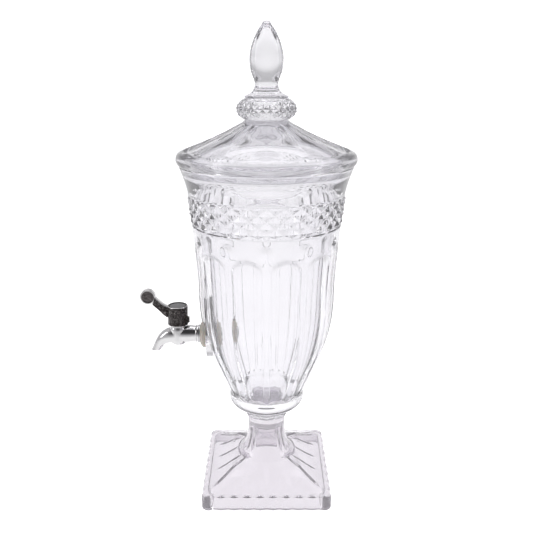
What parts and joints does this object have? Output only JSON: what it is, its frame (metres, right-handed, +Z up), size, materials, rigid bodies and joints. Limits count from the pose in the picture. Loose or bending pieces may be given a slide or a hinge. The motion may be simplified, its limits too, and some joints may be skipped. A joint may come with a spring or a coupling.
{
  "type": "footed glass beverage dispenser",
  "caption": "Tall fluted pressed-glass urn on a square pedestal, with a conical glass lid, a bud-shaped finial and a quarter-turn lever tap for cold drinks.",
  "frame": {"origin": "centre of the foot's underside, on the table", "axes": "+Z up along the urn's axis; the tap points along -X, so -Y is the side that shows the tap on the left"},
  "size_m": [0.2377, 0.1916, 0.52],
  "materials": {
    "urn_glass": "clear pressed glass, fire-polished",
    "foot_glass": "clear pressed glass with a faint lavender cast",
    "lid_glass": "clear pressed glass, fire-polished",
    "tap_chrome": "bright chrome plating",
    "lever_chrome": "bright chrome plating, paddle face darker and dimpled",
    "button_chrome": "bright chrome plating, sunk in the cap",
    "screw_steel": "plain stainless steel",
    "valve_plastic": "dark moulded plastic",
    "o_ring_rubber": "black rubber",
    "gasket_silicone": "translucent beige silicone",
    "nut_plastic": "beige moulded plastic"
  },
  "bodies": {
    "urn": {"bowl": "urn_glass", "foot": "foot_glass", "tap_body": "tap_chrome", "bonnet": "valve_plastic", "outer_gasket": "gasket_silicone", "flange_ring": "screw_steel", "inner_gasket_ring": "gasket_silicone", "inner_washer_ring": "nut_plastic", "shank_nut": "nut_plastic"},
    "lever": {"lever": "lever_chrome", "plug": "valve_plastic", "o_ring_lower": "o_ring_rubber", "o_ring_upper": "o_ring_rubber", "screw_washer": "screw_steel", "handle_screw": "screw_steel", "cap_button": "button_chrome"},
    "lid": {"lid": "lid_glass", "finial": "lid_glass"}
  },
  "joints": [
    {"name": "lever_turn", "type": "hinge", "parent": "urn", "child": "lever", "pos_m": [-0.1005, 0, 0.2], "axis": [0, 0, 1], "range_deg": [-90, 90]},
    {"name": "lid_lift", "type": "slide", "parent": "urn", "child": "lid", "axis": [0, 0, 1], "range_m": [0, 0.08]}
  ]
}
